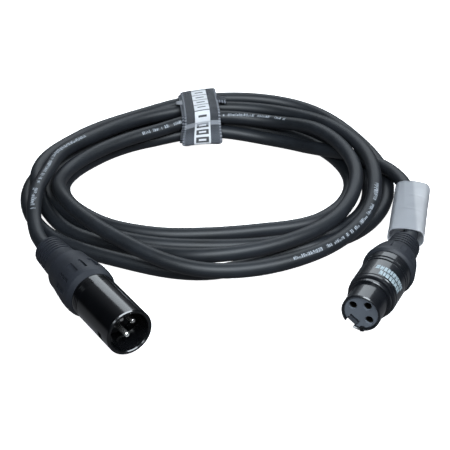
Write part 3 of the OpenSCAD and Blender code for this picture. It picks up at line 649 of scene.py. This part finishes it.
def taut_outline(x, grow, count):
    """Outline of a band pulled round the strands at x: [(y, z)], from the lower front corner,
    under the bundle, up its back and over it to the front."""
    centres = [strand_at(t, x) for t in tie_stations]
    r = cable_r + grow
    pts = []
    for k in range(361):
        a = math.radians(corner_deg + k)
        n = (math.cos(a), math.sin(a))
        c = max(centres, key=lambda q: q[0] * n[0] + q[1] * n[1])
        pts.append(Vector((c[0] + r * n[0], c[1] + r * n[1], 0)))
    s = lengths(pts)
    out, j = [], 0
    for k in range(count):
        want = s[-1] * k / (count - 1)
        while j < len(s) - 2 and s[j + 1] < want:
            j += 1
        f = (want - s[j]) / max(s[j + 1] - s[j], 1e-9)
        out.append(pts[j].lerp(pts[j + 1], f))
    return out, s[-1]

def grid_sides(vid, n, m):
    """Faces of both skins of a strap with n by m cells. Skin 0 of vid is the outer one."""
    faces = []
    for i in range(n):
        for j in range(m):
            faces.append((vid(0, i, j), vid(0, i + 1, j), vid(0, i + 1, j + 1), vid(0, i, j + 1)))
            faces.append((vid(1, i, j), vid(1, i, j + 1), vid(1, i + 1, j + 1), vid(1, i + 1, j)))
    return faces

def band(name, left, grow, part, slack=0.0, skew=0.0, flare=0.0):
    """Woven band round the strands, its thickness outward from grow. part is (from, to) of its
    round. slack is how far its lower front corner hangs loose, skew how far that corner is set
    over, and flare how much it widens there."""
    cols = [taut_outline(left + tie_w * i / band_columns, grow, band_rows)
            for i in range(band_columns + 1)]
    last = band_rows - 1
    k0, k1 = int(part[0] * last), int(part[1] * last)
    open_ends = part != (0, 1)
    rows = k1 - k0 + 1
    mean = sum(c[1] for c in cols) / len(cols)
    verts, faces, uv = [], [], []
    for side in (1, 0):
        for i, (col, _) in enumerate(cols):
            x = left + tie_w * i / band_columns
            across = 2 * (x - left) / tie_w - 1
            at_edge = i in (0, band_columns)
            for k in range(k0, k1 + 1):
                f, v = k / last, mean * k / last
                a, b = col[max(k - 2, 0)], col[min(k + 2, last)]
                d = (b - a).normalized()
                n = Vector((d.y, -d.x, 0))
                from_corner = min(f, 1 - f)
                loose = (slack * math.exp(-(from_corner / loose_part) ** 2)
                         * ease(k - k0, 0, loose_rows))
                xx = x + (skew + flare * across) * math.exp(-(from_corner / skew_part) ** 2)
                thick = tie_t if side else 0.0
                if at_edge:
                    thick = tie_t * edge_skins[side]
                    xx += (1 if i else -1) * edge_wave * math.sin(2 * math.pi * v / stitch_pitch)
                # a free end grows thin, and its corners are round
                from_end = min(k - k0, k1 - k) * mean / last
                if open_ends and from_end < thin_tip and side:
                    thick *= 0.6 + 0.5 * from_end
                if open_ends and from_end < tip:
                    xx -= across * (tip - math.sqrt(tip ** 2 - (tip - from_end) ** 2))
                verts.append(from_tie((xx, col[k].x + n.x * thick - loose,
                                       max(col[k].y + n.y * thick, least_z[side]))))
                uv.append((x - left, v))
    per = (band_columns + 1) * rows

    def vid(side, i, k):
        return side * per + i * rows + k

    faces += grid_sides(vid, band_columns, rows - 1)
    c, e = band_columns, rows - 1
    for k in range(e):
        faces.append((vid(0, 0, k), vid(0, 0, k + 1), vid(1, 0, k + 1), vid(1, 0, k)))
        faces.append((vid(0, c, k), vid(1, c, k), vid(1, c, k + 1), vid(0, c, k + 1)))
    if open_ends:
        for i in range(c):
            faces.append((vid(0, i, 0), vid(1, i, 0), vid(1, i + 1, 0), vid(0, i + 1, 0)))
            faces.append((vid(0, i, e), vid(0, i + 1, e), vid(1, i + 1, e), vid(1, i, e)))
    ob = new_obj(name, verts, faces, uvs=uv)
    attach(ob, ROOT)
    return ob

inner = band("tie_inner_band", tie_left, tie_gap, (0, 1), skew=-1.2)
inner.data.materials.append(MAT["tie_dark"])
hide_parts("tie_inner_layer")
outer = band("tie_outer_band", tie_left + tie_shift, tie_gap + tie_t + 0.05, (0.345, 0.995),
             slack=3.4, skew=-0.6, flare=1.2)
outer.data.materials.append(MAT["tie_face"])
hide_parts("tie_outer_layer")

strap_rows = 240
top_columns = {}

def strap_top(x, y):
    """Height of the inner band's outer face over the bundle at x, y of the tie."""
    key = round(x * 2) / 2
    if key not in top_columns:
        top_columns[key] = taut_outline(key, tie_gap + tie_t, strap_rows)[0]
    col = top_columns[key]
    best = 0.0
    for a, b in zip(col, col[1:]):
        lo, hi = min(a.x, b.x), max(a.x, b.x)
        if lo <= y <= hi and hi > lo:
            f = (y - a.x) / (b.x - a.x)
            best = max(best, a.y + (b.y - a.y) * f)
    return best

def strip(name, x_span, y_span, thick, mat, replaces, droop, tilt, taper=0.0):
    """Free end of a band on top of the tie. It bends down by droop past its right end, or its left
    one where droop is under 0, and is turned by tilt and narrowed by taper to the left."""
    nx, ny, lift, bend_from, edge_round = 14, 10, 0.06, 0.6, 0.35
    (x_from, x_to), (y_from, y_to) = x_span, y_span
    verts, faces, uv = [], [], []
    for side in (1, 0):
        for i in range(nx + 1):
            x = x_from + (x_to - x_from) * i / nx
            f = i / nx
            free = f if droop > 0 else 1 - f
            bend = abs(droop) * max(0.0, free - bend_from) ** 2 * 4
            for j in range(ny + 1):
                y = y_from + (y_to - y_from) * j / ny + tilt * (f - 0.5)
                y += taper * max(0.0, 0.5 - f) * 2 * (1 - j / ny) * (y_to - y_from)
                top = strap_top(min(max(x, tie_left), tie_left + tie_w + tie_shift), y)
                round_y = edge_round * (2 * j / ny - 1) ** 6
                z = top + lift - bend - round_y + (thick if side else 0)
                verts.append(from_tie((x, y, z)))
                uv.append((y - y_from, x - x_from))
    per = (nx + 1) * (ny + 1)

    def vid(side, i, j):
        return side * per + i * (ny + 1) + j

    faces += grid_sides(vid, nx, ny)
    for i in range(nx):
        faces.append((vid(0, i, 0), vid(1, i, 0), vid(1, i + 1, 0), vid(0, i + 1, 0)))
        faces.append((vid(0, i, ny), vid(0, i + 1, ny), vid(1, i + 1, ny), vid(1, i, ny)))
    for j in range(ny):
        faces.append((vid(0, 0, j), vid(0, 0, j + 1), vid(1, 0, j + 1), vid(1, 0, j)))
        faces.append((vid(0, nx, j), vid(1, nx, j), vid(1, nx, j + 1), vid(0, nx, j + 1)))
    ob = new_obj(name, verts, faces, uvs=uv)
    ob.data.materials.append(mat)
    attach(ob, ROOT)
    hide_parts(replaces)

# ------------------------------------------------------------------ marker sleeve
sleeve_front, sleeve_turn, sleeve_z = (79.2, -33), -10.5, 10.4
sleeve_len, sleeve_w, sleeve_h, sleeve_wall = 44.0, 16.0, 9.4, 0.5
# Creases in the upper wall. Their places are angles round it (0 right, 1.6 top) or parts of its
# length, their heights and depths are millimetres.
ridge_high, ridge_at, ridge_skew, ridge_wide = 0.22, 1.62, 0.35, 0.10
cross_deep, cross_at, cross_skew, cross_wide = 0.14, (0.42, 0.71), 0.03, 0.012
dent_count, dent_wide = 9, 0.07
mouth_flare = 0.036

def sleeve_shell():
    """Flattened soft tube with both walls, open at both ends, with a few creases."""
    around, along = 96, 60
    a0 = math.radians(sleeve_turn)
    ahead = Vector((-math.sin(a0), math.cos(a0), 0))
    side = Vector((math.cos(a0), math.sin(a0), 0))
    front = Vector((sleeve_front[0], sleeve_front[1], sleeve_z))
    rnd = random.Random(5)
    dents = [(rnd.uniform(0.15, 0.95), rnd.uniform(0, 2 * math.pi), rnd.uniform(0.05, 0.16))
             for _ in range(dent_count)]
    verts, faces, uv = [], [], []
    for wall in (0, 1):
        w, h = sleeve_w / 2 - wall * sleeve_wall, sleeve_h / 2 - wall * sleeve_wall
        for i in range(along + 1):
            f = i / along
            flare = mouth_flare * math.cos(math.pi * f) ** 2
            for k in range(around):
                g = 2 * math.pi * k / around
                c, s = math.cos(g), math.sin(g)
                # flat oval: straight sides between two half rounds
                x = (w - h) * (1 if c > 0 else -1) * min(abs(c) * 1.6, 1) + h * c
                z = h * math.copysign(abs(s) ** 0.82, s)
                dent = sum(dd * math.exp(-((f - df) / dent_wide) ** 2)
                           * max(math.cos(g - dg), 0) ** 8 for df, dg, dd in dents)
                ridge = (ridge_high * (0.4 + 0.6 * f)
                         * math.exp(-((g - ridge_at - ridge_skew * f) / ridge_wide) ** 2))
                cross = max(s, 0) ** 2 * sum(
                    cross_deep * math.exp(-((f - at - cross_skew * (g - 1.6)) / cross_wide) ** 2)
                    for at in cross_at)
                q = -dent + ridge - cross + flare
                verts.append(front + ahead * (sleeve_len * f) + side * (x + q * c)
                             + Vector((0, 0, z + q * s)))
                uv.append((f * sleeve_len, g * 4))
    per = (along + 1) * around
    for i in range(along):
        for k in range(around):
            k2 = (k + 1) % around
            a, b = i * around + k, i * around + k2
            c, d = b + around, a + around
            faces.append((a, b, c, d))
            faces.append((per + d, per + c, per + b, per + a))
    for i in (0, along):
        for k in range(around):
            k2 = (k + 1) % around
            a, b = i * around + k, i * around + k2
            face = (a, per + a, per + b, b)
            faces.append(face if i == 0 else tuple(reversed(face)))
    ob = new_obj("marker_sleeve", verts, faces, uvs=uv)
    ob.data.materials.append(MAT["clear_sleeve"])
    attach(ob, SLEEVE)
    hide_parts("label_sleeve")

sleeve_shell()

# ------------------------------------------------------------------ marks on the female shell
shell_r, print_lift = 10.25, 0.03
# For each row, its two depths behind the mouth in mm, and where it begins and ends in degrees.
mark_rows = (((15.9, 18.7), 14.0, 80.0), ((19.3, 22.1), 10.0, 88.0))
block_degrees, block_gaps = (5.0, 6.5, 8.0), (1.5, 2.0)

def shell_marks():
    """Two rows of plain white bars round the label band. They spell nothing."""
    rnd = random.Random(3)
    verts, faces = [], []
    band_r = shell_r + print_lift
    parts = 5
    for depths, g, end in mark_rows:
        while g < end:
            w = rnd.choice(block_degrees)
            base = len(verts)
            for i in range(parts + 1):
                a = math.radians(g + w * i / parts)
                for d in depths:
                    verts.append(place(female_mouth, female_turn,
                                       (band_r * math.cos(a), band_r * math.sin(a)), d))
            for i in range(parts):
                a = base + 2 * i
                faces.append((a, a + 1, a + 3, a + 2))
            g += w + rnd.choice(block_gaps)
    ob = new_obj("female_band_marks", verts, faces)
    ob.data.materials.append(MAT["ink_white"])
    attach(ob, ROOT)

shell_marks()

# ------------------------------------------------------------------ free ends on the tie
bundle_back = max(strand_at(t, 0)[0] for t in tie_stations)
tie_right = tie_left + tie_w
strip("tie_light_tag", (tie_left - 2, tie_left + 10), (bundle_back - 15, bundle_back - 8), 0.6,
      MAT["tag_cloth"], "tie_tag", droop=-0.8, tilt=1.6, taper=0.6)
strip("tie_free_end", (tie_right - 6, tie_right + 5.6), (bundle_back - 13, bundle_back - 5.6), 0.95,
      MAT["tie_dark"], "tie_end", droop=0.9, tilt=-1.0)

# ------------------------------------------------------------------ floor
def pale_floor():
    """Plain white floor, evenly lit. It throws no light or shade of its own."""
    half, low = 2.0, -0.0004
    ob = new_obj("floor", [Vector(p) / MM for p in ((-half, -half, low), (half, -half, low),
                                                    (half, half, low), (-half, half, low))],
                 [(0, 1, 2, 3)], smooth=False)
    m, _, b = material("floor_white")
    b.inputs["Base Color"].default_value = (0.9, 0.9, 0.9, 1)
    b.inputs["Emission Color"].default_value = (1, 1, 1, 1)
    b.inputs["Emission Strength"].default_value = 1.0
    b.inputs["Roughness"].default_value = 1.0
    b.inputs["Specular IOR Level"].default_value = 0.0
    ob.data.materials.append(m)
    for ray_kind in ("diffuse", "glossy", "transmission", "volume_scatter", "shadow"):
        setattr(ob, "visible_" + ray_kind, False)

pale_floor()

# ------------------------------------------------------------------ camera, light, world
target, dist = cam_aim * MM, cam_far * MM
cam_data = bpy.data.cameras.new("camera")
cam = bpy.data.objects.new("camera", cam_data)
bpy.context.scene.collection.objects.link(cam)
cam.location = target + to_camera * dist
cam.rotation_euler = (math.radians(90 - cam_tilt), 0, 0)
cam_data.sensor_width = sensor_mm
cam_data.sensor_fit = "HORIZONTAL"
cam_data.lens = sensor_mm * focal_px / frame_px
cam_data.clip_start = 0.01
bpy.context.scene.camera = cam

FLOOR_SHINE, WALL_SHINE, SKY_SHINE, ALL_SHINE = 0.16, 0.24, 0.06, 0.004
SHINE_TINT = (0.92, 0.97, 1.06)
GLOW_TOP, GLOW_TINT = 0.06, (0.88, 0.97, 1.10)
LAMP_TINT = (0.86, 0.94, 1.0)
world = bpy.data.worlds.new("world")
bpy.context.scene.world = world
world.use_nodes = True
wn = world.node_tree
wn.nodes.clear()

def background(color):
    n = wn.nodes.new("ShaderNodeBackground")
    if isinstance(color, tuple):
        n.inputs[0].default_value = color
    else:
        wn.links.new(color, n.inputs[0])
    return n.outputs[0]

def tinted(value, tint):
    n = wn.nodes.new("ShaderNodeCombineColor")
    for i, k in enumerate(tint):
        wn.links.new(math_node(wn, "MULTIPLY", value, k), n.inputs[i])
    return n.outputs[0]

def mix_light(fac, a, b):
    n = wn.nodes.new("ShaderNodeMixShader")
    wn.links.new(fac, n.inputs[0])
    wn.links.new(a, n.inputs[1])
    wn.links.new(b, n.inputs[2])
    return n.outputs[0]

ray = wn.nodes.new("ShaderNodeLightPath")
where = wn.nodes.new("ShaderNodeTexCoord")
toward = wn.nodes.new("ShaderNodeSeparateXYZ")
wn.links.new(where.outputs["Generated"], toward.inputs[0])

def step_between(x, lo, hi):
    """0 up to lo, 1 from hi on, and smooth between them."""
    n = wn.nodes.new("ShaderNodeMapRange")
    n.interpolation_type = "SMOOTHSTEP"
    n.inputs["From Min"].default_value = lo
    n.inputs["From Max"].default_value = hi
    wn.links.new(x, n.inputs["Value"])
    return n.outputs[0]

# what shines in glossy pieces: white floor, grey back wall, dark sides
floor_seen = math_node(wn, "MULTIPLY", math_node(wn, "SUBTRACT", 1.0,
                       step_between(toward.outputs[2], -0.30, -0.06)), FLOOR_SHINE)
wall_seen = math_node(wn, "MULTIPLY", step_between(toward.outputs[1], 0.35, 0.85),
                      step_between(toward.outputs[2], -0.02, 0.45))
wall_seen = math_node(wn, "MULTIPLY", wall_seen, WALL_SHINE)
sky_seen = math_node(wn, "MULTIPLY", step_between(toward.outputs[2], 0.55, 1.0), SKY_SHINE)
seen = math_node(wn, "ADD", math_node(wn, "ADD", floor_seen, wall_seen),
                 math_node(wn, "ADD", sky_seen, ALL_SHINE))
# what lights matt pieces: a weak glow, stronger from above
glow = math_node(wn, "MULTIPLY", step_between(toward.outputs[2], -0.6, 1.0), GLOW_TOP)
light_in = mix_light(ray.outputs["Is Glossy Ray"], background(tinted(glow, GLOW_TINT)),
                     background(tinted(seen, SHINE_TINT)))
light_in = mix_light(ray.outputs["Is Camera Ray"], light_in, background((1, 1, 1, 1)))
w_out = wn.nodes.new("ShaderNodeOutputWorld")
wn.links.new(light_in, w_out.inputs[0])

def area(name, loc, aim, size, power):
    d = bpy.data.lights.new(name, "AREA")
    d.shape = "RECTANGLE"
    d.size, d.size_y = size
    d.energy = power
    d.color = LAMP_TINT
    o = bpy.data.objects.new(name, d)
    bpy.context.scene.collection.objects.link(o)
    o.location = loc
    o.rotation_euler = (Vector(aim) - Vector(loc)).to_track_quat("-Z", "Y").to_euler()

area("top_front", (0.14, -0.40, 0.52), (0, 0, 0), (0.9, 0.22), 8.4)
area("back_top", (0.1, 0.55, 0.45), (0, 0, 0), (0.8, 0.3), 2.0)
area("front_fill", (-0.1, -0.9, 0.42), (0, -0.08, 0.01), (0.2, 0.2), 0.9)
bpy.context.scene.view_settings.view_transform = "Standard"
